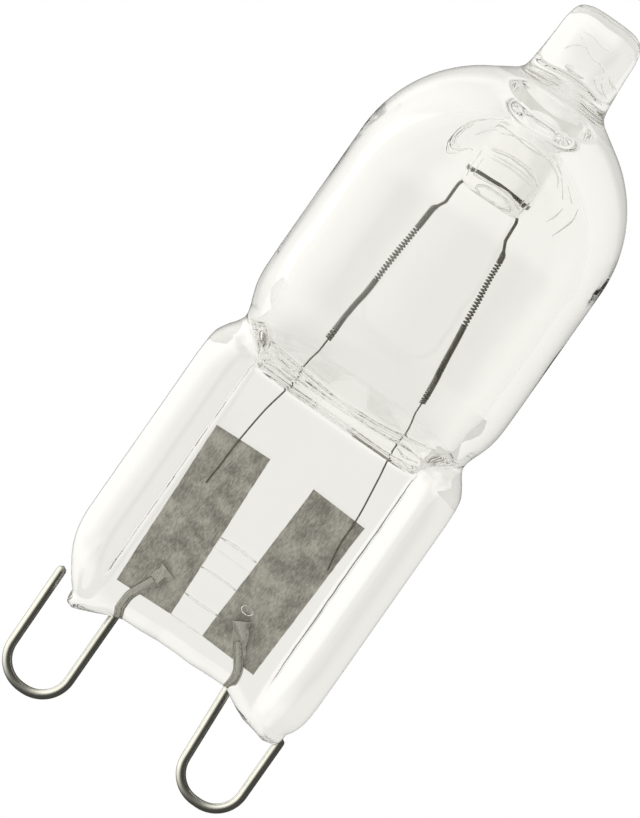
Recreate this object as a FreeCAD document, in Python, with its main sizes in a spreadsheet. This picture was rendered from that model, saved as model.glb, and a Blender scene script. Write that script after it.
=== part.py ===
# Halogen capsule bulb: a quartz envelope, blown, tipped off and pressed flat in one piece, around a
# coiled filament, two thin leads, two sealing foils and two wire contact loops.
# Millimetres. +Z runs up the lamp's axis from the contact loops to the exhaust tip, and the press is
# broad along X. The origin lies on the axis, level with the lower end of the contact loops.

import FreeCAD, Part
import Sketcher
import math
import os
import re

from FreeCAD import Placement, Rotation, Vector

# Driving dimensions. Heights are above the lower end of the contact loops, places across are from the
# lamp's axis, and a width or depth of the glass is given as half, because it is even about the axis.
SIZES = {
    # bulb: the tube, its round dome and its wall
    "bulb_radius": 7.0,
    "bulb_straight_length": 8.0,
    "wall_thickness": 1.05,
    "inner_dome_drop": 1.0,
    # tip: the exhaust tube, melted off and nipped flat
    "tip_length": 4.2,
    "tip_root_sink": 1.0,
    "tip_half_width": 2.15,
    "tip_half_depth": 1.35,
    "tip_root_flare": 0.35,
    "tip_flare_height": 1.5,
    "tip_taper": 0.15,
    "tip_round": 0.8,
    "tip_end_half_width": 1.4,
    "tip_end_half_depth": 0.6,
    # stub: the solid end of the exhaust tube in the bulb, which holds the middle of the filament
    "stub_length": 4.8,
    "stub_root_rise": 0.35,
    "stub_root_flare": 0.8,
    "stub_half_width": 1.86,
    "stub_half_depth": 1.55,
    "stub_end_half_width": 1.2,
    "stub_end_half_depth": 0.95,
    "stub_round": 0.9,
    # neck: from the round bulb through the waist down to the flat press
    "neck_length": 3.0,
    "shoulder_rise": 2.1,
    "shoulder_narrowing": 0.14,
    "shoulder_flattening": 0.7,
    "shoulder_foot_rise": 1.3,
    "shoulder_foot_narrowing": 0.42,
    "shoulder_foot_flattening": 1.8,
    "waist_rise": 0.6,
    "waist_narrowing": 0.57,
    "waist_flattening": 2.7,
    "neck_foot_drop": 0.5,
    "neck_foot_narrowing": 0.45,
    "neck_foot_bulge": 0.55,
    "neck_run_out": 2.2,
    "neck_run_in_depth": 0.15,
    # press: the flat seal, a web with a thick rim down each side
    "press_length": 15.05,
    "press_overhang": 0.3,
    "press_web_half_depth": 1.65,
    "press_rim_half_depth": 2.4,
    "rim_width": 1.75,
    "rim_slope_width": 0.65,
    "rim_edge_radius": 0.9,
    "rim_shoulder_drop": 1.6,
    "rim_shoulder_radius": 1.91,
    "press_end_height": 5.95,
    "press_end_inset": 4.25,
    "lobe_drop": 1.08,
    "lobe_slope_drop": 0.65,
    "lobe_slope_inset": 2.8,
    "left_lobe_inset": 1.97,
    "left_corner_inset": 0.68,
    "left_corner_rise": 0.45,
    "left_corner_radius": 2.6,
    "left_side_rise": 3.65,
    "left_side_radius": 9.0,
    "right_lobe_inset": 1.1,
    "right_corner_radius": 2.3,
    "right_side_rise": 1.15,
    "cut_margin": 2.0,
    # hollow: where the bulb narrows to a trough above the press
    "trough_drop": 1.3,
    "trough_inset": 2.7,
    "trough_half_depth": 0.55,
    "trough_flare": 0.5,
    "trough_flare_depth": 1.2,
    # sealing foils
    "foil_width_margin": 4.2,
    "foil_length_margin": 6.1,
    "foil_thickness": 0.03,
    "foil_end_rise": 1.375,
    "left_foil_inset": 4.46,
    "right_foil_inset": 4.85,
    "left_foil_lean": 2.2,
    "right_foil_lean": 2.3,
    # contact loops
    "loop_wire_diameter": 0.5,
    "left_loop_inset": 2.35,
    "right_loop_inset": 2.16,
    "left_loop_half_width": 1.66,
    "right_loop_half_width": 1.6,
    "left_loop_lift": 0.0,
    "right_loop_lift": 0.31,
    "right_loop_lean": 0.38,
    "left_loop_end_inset": 0.64,
    "right_loop_end_inset": 0.55,
    "left_loop_end_rise": 0.32,
    "right_loop_end_drop": 0.45,
    "loop_bend_rise": 1.05,
    "loop_upper_bend_radius": 1.2,
    # flat weld ends of the loops, on the foils
    "left_weld_shift": 0.44,
    "right_weld_shift": 0.57,
    "weld_end_rise": 3.1,
    "weld_width": 0.9,
    "weld_length": 1.55,
    "weld_thickness": 0.16,
    # inner leads, placed from the middles of the foils
    "lead_diameter": 0.09,
    "lead_bend_radius": 4.0,
    "lead_end_gap": 0.03,
    "lead_weld_length": 2.725,
    "left_lead_weld_shift": 0.51,
    "right_lead_weld_shift": 1.4,
    "lead_knee_drop": 3.3,
    "left_lead_knee_shift": 0.36,
    "right_lead_knee_shift": 1.17,
    "left_lead_trough_shift": 0.09,
    "right_lead_trough_shift": 0.72,
    # filament
    "coil_diameter": 0.34,
    "coil_core_diameter": 0.16,
    "coil_open_pitch": 0.17,
    "link_diameter": 0.16,
    "link_bend_radius": 0.55,
    "link_rise": 1.15,
    "link_span_inset": 0.36,
    "left_foot_shift": 0.31,
    "right_foot_shift": 0.55,
    "left_foot_rise": 2.8,
    "right_foot_rise": 3.05,
    "left_top_gap": 0.09,
    "right_top_gap": 0.24,
    "left_top_drop": 1.8,
    "right_top_drop": 1.9,
    "left_foot_close_length": 3.9,
    "right_foot_close_length": 4.25,
    "left_top_close_length": 1.15,
    "right_top_close_length": 0.15,
}

# Sizes that follow from the others: the glass is set out from its lower edge upwards and from the
# bulb's radius across, the metal in the press from its sides, and the filament from trough and stub.
DERIVED = {
    "press_half_width": "bulb_radius + press_overhang",
    "lobe_end_height": "press_end_height - lobe_drop",
    "rim_top_height": "press_end_height + press_length",
    "rim_shoulder_height": "rim_top_height - rim_shoulder_drop",
    "press_end_half_width": "press_half_width - press_end_inset",
    "lobe_slope_place": "press_half_width - lobe_slope_inset",
    "left_lobe_place": "press_half_width - left_lobe_inset",
    "left_corner_place": "press_half_width - left_corner_inset",
    "left_corner_height": "press_end_height + left_corner_rise",
    "left_side_end_height": "press_end_height + left_side_rise",
    "right_lobe_place": "press_half_width - right_lobe_inset",
    "right_side_end_height": "press_end_height + right_side_rise",
    "neck_foot_height": "rim_top_height - neck_foot_drop",
    "neck_foot_half_width": "press_half_width - neck_foot_narrowing",
    "neck_foot_half_depth": "press_rim_half_depth + neck_foot_bulge",
    "waist_height": "rim_top_height + waist_rise",
    "waist_half_width": "bulb_radius - waist_narrowing",
    "waist_half_depth": "bulb_radius - waist_flattening",
    "shoulder_foot_height": "rim_top_height + shoulder_foot_rise",
    "shoulder_foot_half_width": "bulb_radius - shoulder_foot_narrowing",
    "shoulder_foot_half_depth": "bulb_radius - shoulder_foot_flattening",
    "shoulder_height": "rim_top_height + shoulder_rise",
    "shoulder_half_width": "bulb_radius - shoulder_narrowing",
    "shoulder_half_depth": "bulb_radius - shoulder_flattening",
    "bulb_base_height": "rim_top_height + neck_length",
    "dome_base_height": "bulb_base_height + bulb_straight_length",
    "dome_top_height": "dome_base_height + bulb_radius",
    "inner_dome_base_height": "dome_base_height - inner_dome_drop",
    "inner_dome_top_height": "inner_dome_base_height + bulb_radius - wall_thickness",
    "tip_root_height": "dome_top_height - tip_root_sink",
    "tip_top_height": "dome_top_height + tip_length",
    "stub_root_height": "inner_dome_top_height + stub_root_rise",
    "stub_end_height": "stub_root_height - stub_length",
    "trough_height": "rim_top_height - trough_drop",
    "trough_half_width": "press_half_width - trough_inset",
    "foil_width": "press_half_width - foil_width_margin",
    "foil_length": "press_length - foil_length_margin",
    "foil_height": "press_end_height + foil_end_rise + foil_length / 2",
    "left_foil_place": "left_foil_inset - press_half_width",
    "right_foil_place": "press_half_width - right_foil_inset",
    "left_loop_place": "left_loop_inset - press_half_width",
    "right_loop_place": "press_half_width - right_loop_inset",
    "left_loop_entry": "left_loop_place + left_loop_half_width",
    "right_loop_entry": "right_loop_place - right_loop_half_width - right_loop_lean",
    "left_loop_end_place": "left_loop_end_inset - press_half_width",
    "right_loop_end_place": "press_half_width - right_loop_end_inset",
    "left_loop_end_height": "press_end_height + left_loop_end_rise",
    "right_loop_end_height": "press_end_height - right_loop_end_drop",
    "loop_bend_height": "press_end_height + loop_bend_rise",
    "left_weld_place": "left_foil_place + left_weld_shift",
    "right_weld_place": "right_foil_place - right_weld_shift",
    "weld_end_height": "press_end_height + weld_end_rise",
    "lead_weld_height": "foil_height + foil_length / 2 - lead_weld_length",
    "left_lead_weld_place": "left_foil_place - left_lead_weld_shift",
    "right_lead_weld_place": "right_foil_place + right_lead_weld_shift",
    "lead_knee_height": "trough_height - lead_knee_drop",
    "left_lead_knee_place": "left_foil_place - left_lead_knee_shift",
    "right_lead_knee_place": "right_foil_place + right_lead_knee_shift",
    "left_lead_trough_place": "left_foil_place + left_lead_trough_shift",
    "right_lead_trough_place": "right_foil_place + right_lead_trough_shift",
    "left_foot_place": "left_foil_place + left_foot_shift",
    "right_foot_place": "right_foil_place + right_foot_shift",
    "left_foot_height": "trough_height + left_foot_rise",
    "right_foot_height": "trough_height + right_foot_rise",
    "left_top_place": "0 - stub_half_width - left_top_gap",
    "right_top_place": "stub_half_width + right_top_gap",
    "left_top_height": "stub_end_height - left_top_drop",
    "right_top_height": "stub_end_height - right_top_drop",
    "left_open_start_height": "left_foot_height + left_foot_close_length",
    "right_open_start_height": "right_foot_height + right_foot_close_length",
    "left_open_end_height": "left_top_height - left_top_close_length",
    "right_open_end_height": "right_top_height - right_top_close_length",
    "link_height": "stub_end_height + link_rise",
    "link_half_span": "stub_half_width - link_span_inset",
}

# How a constraint names the first and the last point of a curve.
CURVE_POINTS = {"first": 1, "last": 2}

# Sides of the sections of the coil and of the link between its legs, too fine to be seen as flats.
FINE_SIDES = 8

# The U of a loop is bent a little tighter than half its width, so a short flat is left at the bottom.
LOOP_BEND_SHARE = 0.97

doc = FreeCAD.newDocument("halogen_capsule_bulb")
sheet = doc.addObject("Spreadsheet::Sheet", "Sizes")
cells = {name: str(value) for name, value in SIZES.items()}
cells.update({name: f"={formula}" for name, formula in DERIVED.items()})
for row, (name, entry) in enumerate(cells.items(), start=1):
    sheet.set(f"A{row}", name)
    sheet.setAlias(f"B{row}", name)
    sheet.set(f"B{row}", entry)
doc.recompute()


def worked_out(formula):
    """The number that a formula on the sheet gives now."""
    return float(sheet.evalExpression(formula))


def on_sheet(formula):
    """The same formula with its size names pointed at the sheet, for another object's use."""
    return re.sub(r"[a-z]\w+", lambda word: f"Sizes.{word.group()}", formula)


def sketch_on(body, name, role, height=None):
    """A sketch on one of the body's own origin planes, or at a height above it."""
    sketch = body.newObject("Sketcher::SketchObject", name)
    plane = next(item for item in body.Origin.OriginFeatures if item.Role == role)
    sketch.AttachmentSupport = (plane, [""])
    sketch.MapMode = "FlatFace"
    if height is not None:
        sketch.setExpression("AttachmentOffset.Base.z", on_sheet(height))
    return sketch


def hold(sketch, curve, end, across, up):
    """Ties one end of a curve to a place given by two formulas."""
    for kind, formula in (("DistanceX", across), ("DistanceY", up)):
        rule = Sketcher.Constraint(kind, -1, 1, curve, end, worked_out(formula))
        held = sketch.addConstraint(rule)
        sketch.setExpression(f"Constraints[{held}]", on_sheet(formula))


def outline(sketch, corners):
    """Draws a closed outline through corners (across, up). A third entry makes the edge that leads on
    from a corner an arc of that radius, with its centre to the left of the way it runs, and a fourth
    entry, "right", puts the centre to the right."""
    places = [Vector(worked_out(corner[0]), worked_out(corner[1]), 0) for corner in corners]
    edges = []
    for number, corner in enumerate(corners):
        here = places[number]
        there = places[(number + 1) % len(places)]
        near_end, far_end = CURVE_POINTS["first"], CURVE_POINTS["last"]
        if len(corner) == 2:
            curve = sketch.addGeometry(Part.LineSegment(here, there))
        else:
            if len(corner) == 4:
                here, there = there, here
                near_end, far_end = far_end, near_end
            curve = sketch.addGeometry(arc_between(here, there, worked_out(corner[2])))
            bend = sketch.addConstraint(Sketcher.Constraint("Radius", curve, worked_out(corner[2])))
            sketch.setExpression(f"Constraints[{bend}]", on_sheet(corner[2]))
        hold(sketch, curve, near_end, corner[0], corner[1])
        edges.append((curve, near_end, far_end))
    for edge, following in zip(edges, edges[1:] + edges[:1]):
        join = Sketcher.Constraint("Coincident", edge[0], edge[2], following[0], following[1])
        sketch.addConstraint(join)


def arc_between(here, there, radius):
    """The shorter arc that runs counterclockwise from one place to the other."""
    half_chord = (there - here) * 0.5
    left = Vector(-half_chord.y, half_chord.x, 0).normalize()
    centre = here + half_chord + left * math.sqrt(max(radius**2 - half_chord.Length**2, 0.0))
    start = math.atan2(here.y - centre.y, here.x - centre.x)
    stop = math.atan2(there.y - centre.y, there.x - centre.x)
    return Part.ArcOfCircle(Part.Circle(centre, Vector(0, 0, 1), radius), start, stop)


def oval(sketch, half_width, half_depth):
    """Draws an ellipse round the origin, broad along the sketch's first axis."""
    wide = worked_out(half_width)
    deep = worked_out(half_depth)
    ellipse = sketch.addGeometry(Part.Ellipse(Vector(wide, 0, 0), Vector(0, deep, 0), Vector(0, 0, 0)))
    sketch.exposeInternalGeometry(ellipse)
    sketch.addConstraint(Sketcher.Constraint("Coincident", ellipse, 3, -1, 1))
    for axis, formula in ((1, half_width), (2, half_depth)):
        rule = Sketcher.Constraint("Distance", ellipse + axis, 2 * worked_out(formula))
        length = sketch.addConstraint(rule)
        sketch.setExpression(f"Constraints[{length}]", on_sheet(f"2 * ({formula})"))
    sketch.addConstraint(Sketcher.Constraint("Horizontal", ellipse + 1))


def round_section(sketch, radius):
    """Draws a circle round the origin."""
    circle = sketch.addGeometry(Part.Circle(Vector(0, 0, 0), Vector(0, 0, 1), worked_out(radius)))
    sketch.addConstraint(Sketcher.Constraint("Coincident", circle, 3, -1, 1))
    size = sketch.addConstraint(Sketcher.Constraint("Radius", circle, worked_out(radius)))
    sketch.setExpression(f"Constraints[{size}]", on_sheet(radius))


def loft(body, kind, name, sections):
    """A PartDesign loft through level sections (height, half width, half depth); with no half depth
    the section is round."""
    drawn = []
    for number, (height, half_width, half_depth) in enumerate(sections, start=1):
        sketch = sketch_on(body, f"{name}_section_{number}", "XY_Plane", height)
        if half_depth is None:
            round_section(sketch, half_width)
        else:
            oval(sketch, half_width, half_depth)
        drawn.append(sketch)
    doc.recompute()
    feature = body.newObject(kind, name)
    feature.Profile = drawn[0]
    feature.Sections = drawn[1:]
    feature.Ruled = True
    doc.recompute()
    return feature


def turned(body, kind, name, corners):
    """A PartDesign revolution or groove of an outline about the lamp's axis."""
    sketch = sketch_on(body, f"{name}_outline", "XZ_Plane")
    outline(sketch, corners)
    feature = body.newObject(kind, name)
    feature.Profile = sketch
    feature.ReferenceAxis = (sketch, ["V_Axis"])
    feature.Angle = 360
    doc.recompute()
    return feature


def routed_wire(corners, bend_radii, section_of):
    """A wire along straight runs between corners (across, height), joined by tangent arcs."""
    places = [Vector(across, 0, height) for across, height in corners]
    edges = []
    start = places[0]
    for before, corner, after, radius in zip(places, places[1:], places[2:], bend_radii):
        back = (before - corner).normalize()
        ahead = (after - corner).normalize()
        half_angle = back.getAngle(ahead) / 2
        run_in = radius / math.tan(half_angle)
        entry = corner + back * run_in
        leave = corner + ahead * run_in
        middle_way = (back + ahead).normalize()
        top = corner + middle_way * (radius / math.sin(half_angle) - radius)
        if (entry - start).Length > 1e-6:
            edges.append(Part.LineSegment(start, entry).toShape())
        edges.append(Part.Arc(entry, top, leave).toShape())
        start = leave
    edges.append(Part.LineSegment(start, places[-1]).toShape())
    section = section_of(places[0], places[1] - places[0])
    return Part.Wire(edges).makePipeShell([section], True, False)


def round_section_of(radius):
    """The section of a round wire, to be set square to its way."""
    return lambda centre, way: Part.Wire([Part.makeCircle(radius, centre, way)])


def fine_section_of(radius):
    """The section of a wire finer than a hair, many-sided in place of round."""
    def section(centre, way):
        turn = Rotation(Vector(0, 0, 1), way)
        return fine_ring(radius, lambda point: centre + turn.multVec(point))
    return section


def fine_ring(radius, place):
    """A many-sided ring round the origin, moved by a function that places a point."""
    corners = []
    for number in range(FINE_SIDES + 1):
        angle = 2 * math.pi * (number % FINE_SIDES + 0.5) / FINE_SIDES
        corners.append(place(Vector(radius * math.cos(angle), radius * math.sin(angle), 0)))
    return Part.makePolygon(corners)


def shape_feature(name, shape, depth):
    """A document object that holds a shape made here, moved back by its depth from the mid-plane."""
    feature = doc.addObject("Part::Feature", name)
    feature.Shape = shape
    feature.Placement.Base = Vector(0, depth, 0)
    return feature


def build_glass():
    """The envelope before the metal is sealed in: bulb, neck, press, tip, hollow and stub."""
    glass = doc.addObject("PartDesign::Body", "glass_blank")
    build_press(glass)
    loft(glass, "PartDesign::AdditiveLoft", "neck", [
        ("bulb_base_height", "bulb_radius", None),
        ("shoulder_height", "shoulder_half_width", "shoulder_half_depth"),
        ("shoulder_foot_height", "shoulder_foot_half_width", "shoulder_foot_half_depth"),
        ("waist_height", "waist_half_width", "waist_half_depth"),
        ("neck_foot_height", "neck_foot_half_width", "neck_foot_half_depth"),
        ("neck_foot_height - neck_run_out / 2",
         "press_half_width - rim_slope_width / 2", "press_rim_half_depth - rim_edge_radius / 2"),
        ("neck_foot_height - neck_run_out",
         "press_half_width - rim_slope_width", "press_web_half_depth - neck_run_in_depth"),
    ])
    turned(glass, "PartDesign::Revolution", "bulb", [
        ("0", "bulb_base_height"),
        ("bulb_radius", "bulb_base_height"),
        ("bulb_radius", "dome_base_height", "bulb_radius"),
        ("0", "dome_top_height"),
    ])
    loft(glass, "PartDesign::AdditiveLoft", "tip", [
        ("tip_root_height", "tip_half_width + tip_root_flare", "tip_half_depth + tip_root_flare"),
        ("tip_root_height + tip_flare_height", "tip_half_width", "tip_half_depth"),
        ("tip_top_height - tip_round", "tip_half_width - tip_taper", "tip_half_depth - tip_taper"),
        ("tip_top_height", "tip_end_half_width", "tip_end_half_depth"),
    ])
    turned(glass, "PartDesign::Groove", "hollow", [
        ("0", "bulb_base_height"),
        ("bulb_radius - wall_thickness", "bulb_base_height"),
        ("bulb_radius - wall_thickness", "inner_dome_base_height", "bulb_radius - wall_thickness"),
        ("0", "inner_dome_top_height"),
    ])
    loft(glass, "PartDesign::SubtractiveLoft", "hollow_foot", [
        ("bulb_base_height", "bulb_radius - wall_thickness", None),
        ("shoulder_height", "shoulder_half_width - wall_thickness", "shoulder_half_depth - wall_thickness"),
        ("shoulder_foot_height",
         "shoulder_foot_half_width - wall_thickness", "shoulder_foot_half_depth - wall_thickness"),
        ("waist_height", "waist_half_width - wall_thickness", "waist_half_depth - wall_thickness"),
        ("(waist_height + trough_height) / 2",
         "trough_half_width + trough_flare", "trough_half_depth + trough_flare_depth"),
        ("trough_height", "trough_half_width", "trough_half_depth"),
    ])
    loft(glass, "PartDesign::AdditiveLoft", "stub", [
        ("stub_root_height", "stub_half_width + stub_root_flare", "stub_half_depth + stub_root_flare"),
        ("stub_end_height + 3 * stub_round", "stub_half_width", "stub_half_depth"),
        ("stub_end_height + stub_round", "stub_half_width", "stub_half_depth"),
        ("stub_end_height", "stub_end_half_width", "stub_end_half_depth"),
    ])
    return glass


def build_press(glass):
    """The press: a web with a thick rim down each side, cut to its lower edge and rounded shoulders,
    with the tops of the rims sloped down to the web."""
    inner = "press_half_width - rim_width - rim_slope_width"
    slope_end = "press_half_width - rim_width"
    section = sketch_on(glass, "press_section", "XY_Plane", "lobe_end_height")
    outline(section, [
        (f"0 - ({inner})", "0 - press_web_half_depth"),
        (inner, "0 - press_web_half_depth"),
        (slope_end, "0 - press_rim_half_depth"),
        ("press_half_width - rim_edge_radius", "0 - press_rim_half_depth", "rim_edge_radius"),
        ("press_half_width", "rim_edge_radius - press_rim_half_depth"),
        ("press_half_width", "press_rim_half_depth - rim_edge_radius", "rim_edge_radius"),
        ("press_half_width - rim_edge_radius", "press_rim_half_depth"),
        (slope_end, "press_rim_half_depth"),
        (inner, "press_web_half_depth"),
        (f"0 - ({inner})", "press_web_half_depth"),
        (f"0 - ({slope_end})", "press_rim_half_depth"),
        ("rim_edge_radius - press_half_width", "press_rim_half_depth", "rim_edge_radius"),
        ("0 - press_half_width", "press_rim_half_depth - rim_edge_radius"),
        ("0 - press_half_width", "rim_edge_radius - press_rim_half_depth", "rim_edge_radius"),
        ("rim_edge_radius - press_half_width", "0 - press_rim_half_depth"),
        (f"0 - ({slope_end})", "0 - press_rim_half_depth"),
    ])
    press = glass.newObject("PartDesign::Pad", "press")
    press.Profile = section
    press.setExpression("Length", on_sheet("rim_top_height - lobe_end_height"))
    doc.recompute()

    cut = sketch_on(glass, "press_cut_outline", "XZ_Plane")
    below = "lobe_end_height - cut_margin"
    outside = "press_half_width + cut_margin"
    outline(cut, [
        (f"0 - ({outside})", below),
        (outside, below),
        (outside, "right_side_end_height"),
        ("press_half_width", "right_side_end_height", "right_corner_radius", "right"),
        ("right_lobe_place", "lobe_end_height"),
        ("lobe_slope_place", "press_end_height - lobe_slope_drop"),
        ("press_end_half_width", "press_end_height"),
        ("0 - press_end_half_width", "press_end_height"),
        ("0 - lobe_slope_place", "press_end_height - lobe_slope_drop"),
        ("0 - left_lobe_place", "lobe_end_height", "left_corner_radius", "right"),
        ("0 - left_corner_place", "left_corner_height", "left_side_radius", "right"),
        ("0 - press_half_width", "left_side_end_height"),
        (f"0 - ({outside})", "left_side_end_height"),
    ])
    outline(cut, [
        ("press_half_width", "rim_shoulder_height"),
        (outside, "rim_shoulder_height"),
        (outside, "rim_top_height"),
        ("waist_half_width", "rim_top_height", "rim_shoulder_radius", "right"),
    ])
    outline(cut, [
        ("0 - press_half_width", "rim_shoulder_height", "rim_shoulder_radius", "right"),
        ("0 - waist_half_width", "rim_top_height"),
        (f"0 - ({outside})", "rim_top_height"),
        (f"0 - ({outside})", "rim_shoulder_height"),
    ])
    cut_through(glass, "press_trim", cut)

    slopes = sketch_on(glass, "rim_slope_outline", "YZ_Plane")
    for way in ("", "0 - "):
        outline(slopes, [
            (f"{way}press_rim_half_depth", "rim_shoulder_height"),
            (f"{way}(press_rim_half_depth + cut_margin)", "rim_shoulder_height"),
            (f"{way}(press_rim_half_depth + cut_margin)", "rim_top_height"),
            (f"{way}press_web_half_depth", "rim_top_height"),
        ])
    cut_through(glass, "rim_slopes", slopes)


def cut_through(body, name, sketch):
    """A PartDesign pocket that takes a sketch's outlines out of the whole body, both ways."""
    pocket = body.newObject("PartDesign::Pocket", name)
    pocket.Profile = sketch
    pocket.Type = "ThroughAll"
    pocket.SideType = "Symmetric"
    doc.recompute()


def build_foil(side, outward):
    """One sealing foil: a strip of thin sheet that leans a little, behind the wires welded to it."""
    foil = doc.addObject("PartDesign::Body", f"foil_{side}")
    sketch = sketch_on(foil, f"foil_{side}_outline", "XZ_Plane")
    outline(sketch, [
        ("0 - foil_width / 2", "0 - foil_length / 2"),
        ("foil_width / 2", "0 - foil_length / 2"),
        ("foil_width / 2", "foil_length / 2"),
        ("0 - foil_width / 2", "foil_length / 2"),
    ])
    strip = foil.newObject("PartDesign::Pad", f"foil_{side}_strip")
    strip.Profile = sketch
    strip.setExpression("Length", on_sheet("foil_thickness"))
    strip.SideType = "Symmetric"
    foil.setExpression("Placement.Base.x", on_sheet(f"{side}_foil_place"))
    foil.setExpression("Placement.Base.y", on_sheet("(loop_wire_diameter + foil_thickness) / 2"))
    foil.setExpression("Placement.Base.z", on_sheet("foil_height"))
    foil.Placement.Rotation = Rotation(Vector(0, 1, 0), 0)
    foil.setExpression("Placement.Rotation.Angle", on_sheet(f"{outward} * {side}_foil_lean"))
    return foil


def build_loop(side, outward):
    """One contact loop: from the flat weld on the foil down out of the press, round and up again to the
    corner of the press. Its wire lies in the lamp's mid-plane, and the flat reaches back to the foil."""
    place = worked_out(f"{side}_loop_place")
    half_width = worked_out(f"{side}_loop_half_width")
    radius = worked_out("loop_wire_diameter") / 2
    low = worked_out(f"{side}_loop_lift") + radius
    bend = half_width * LOOP_BEND_SHARE
    weld_end = Vector(worked_out(f"{side}_weld_place"), 0, worked_out("weld_end_height"))
    knee = Vector(worked_out(f"{side}_loop_entry"), 0, worked_out("loop_bend_height"))
    along = (weld_end - knee).normalize()
    wire_end = weld_end - along * 2 * radius
    corners = [
        (worked_out(f"{side}_loop_end_place"), worked_out(f"{side}_loop_end_height")),
        (place + outward * half_width, low),
        (place - outward * half_width, low),
        (knee.x, knee.z),
        (wire_end.x, wire_end.z),
    ]
    bends = [bend, bend, worked_out("loop_upper_bend_radius")]
    wire = routed_wire(corners, bends, round_section_of(radius))

    across = Vector(along.z, 0, -along.x) * (worked_out("weld_width") / 2)
    weld_start = weld_end - along * worked_out("weld_length")
    front = Vector(0, radius - worked_out("weld_thickness"), 0)
    edge = [weld_start - across, weld_start + across, weld_end + across, weld_end - across]
    face = Part.Face(Part.makePolygon([corner + front for corner in edge + edge[:1]]))
    flat = face.extrude(Vector(0, worked_out("weld_thickness"), 0))
    return shape_feature(f"contact_loop_{side}", wire.fuse(flat), 0)


def build_lead(side):
    """One inner lead: thin wire from its weld on the foil, through the glass into the hollow, up to the
    foot of the filament. It lies against the foil's front."""
    radius = worked_out("lead_diameter") / 2
    corners = [
        (worked_out(f"{side}_lead_weld_place"), worked_out("lead_weld_height")),
        (worked_out(f"{side}_lead_knee_place"), worked_out("lead_knee_height")),
        (worked_out(f"{side}_lead_trough_place"), worked_out("trough_height")),
        (worked_out(f"{side}_foot_place"), worked_out(f"{side}_foot_height - lead_end_gap")),
    ]
    bends = [worked_out("lead_bend_radius")] * 2
    wire = routed_wire(corners, bends, round_section_of(radius))
    return shape_feature(f"inner_lead_{side}", wire, filament_depth())


def filament_depth():
    """How far behind the mid-plane the leads and the filament lie, flush with the foils' front."""
    return worked_out("(loop_wire_diameter - lead_diameter) / 2")


def coiled_leg(side):
    """One leg of the filament, built up along its own axis: closely wound at the ends, where the turns
    touch and make a bar, with one ridge for each turn of the open stretch."""
    foot = Vector(worked_out(f"{side}_foot_place"), 0, worked_out(f"{side}_foot_height"))
    top = Vector(worked_out(f"{side}_top_place"), 0, worked_out(f"{side}_top_height"))
    rise = top - foot
    radius = worked_out("coil_diameter") / 2
    core = worked_out("coil_core_diameter") / 2
    share = rise.Length / rise.z
    open_start = (worked_out(f"{side}_open_start_height") - foot.z) * share
    open_end = (worked_out(f"{side}_open_end_height") - foot.z) * share
    turns = round((open_end - open_start) / worked_out("coil_open_pitch"))
    pitch = (open_end - open_start) / turns
    stations = [(0, radius), (open_start, radius)]
    for turn in range(turns):
        stations.append((open_start + (turn + 0.5) * pitch, core))
        stations.append((open_start + (turn + 1) * pitch, radius))
    stations.append((rise.Length, radius))
    rings = []
    for height, size in stations:
        rings.append(fine_ring(size, lambda point: point + Vector(0, 0, height)))
    leg = Part.makeLoft(rings, True, True)
    leg.Placement = Placement(foot, Rotation(Vector(0, 0, 1), rise))
    return leg


def build_filament():
    """The filament: two coiled legs and the thinner link between them, whose middle the stub holds."""
    tops = {side: (worked_out(f"{side}_top_place"), worked_out(f"{side}_top_height")) for side in SIDES}
    span = worked_out("link_half_span")
    height = worked_out("link_height")
    sink = worked_out("link_diameter") / 2
    corners = [
        (tops["left"][0], tops["left"][1] - sink),
        (-span, height),
        (span, height),
        (tops["right"][0], tops["right"][1] - sink),
    ]
    bends = [worked_out("link_bend_radius")] * 2
    link = routed_wire(corners, bends, fine_section_of(worked_out("link_diameter") / 2))
    shape = coiled_leg("left").fuse([coiled_leg("right"), link])
    return shape_feature("filament", shape, filament_depth())


def seal(glass, metal):
    """The envelope: the glass with the seat of each metal piece taken out of it, face to face."""
    for piece in metal:
        cut = doc.addObject("Part::Cut", f"sealed_round_{piece.Name}")
        cut.Base = glass
        cut.Tool = piece
        glass = cut
    glass.Label = "quartz_envelope"
    return glass


SIDES = {"left": -1, "right": 1}
glass = build_glass()
metal = []
for side, outward in SIDES.items():
    metal.append(build_foil(side, outward))
    metal.append(build_loop(side, outward))
    metal.append(build_lead(side))
metal.append(build_filament())
envelope = seal(glass, metal)
doc.recompute()

faults = [item.Name for item in doc.Objects if {"Invalid", "Error"} & set(item.State)]
for piece in [envelope] + metal:
    if piece.Shape.isNull() or not piece.Shape.isValid() or len(piece.Shape.Solids) != 1:
        faults.append(piece.Label)
if faults:
    raise RuntimeError(f"not built: {faults}")

os.makedirs("parts", exist_ok=True)
for piece in [envelope] + metal:
    piece.Shape.exportStep(f"parts/{piece.Label}.step")
    print(f"{piece.Label}: {piece.Shape.Volume:.4f} cubic mm, {len(piece.Shape.Faces)} faces")
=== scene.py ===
# A halogen capsule bulb on a plain white ground: quartz envelope, coiled filament, inner leads, sealing
# foils and wire contact loops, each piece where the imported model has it.
import bpy
import math
import numpy as np
from mathutils import Matrix, Vector, noise


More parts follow.
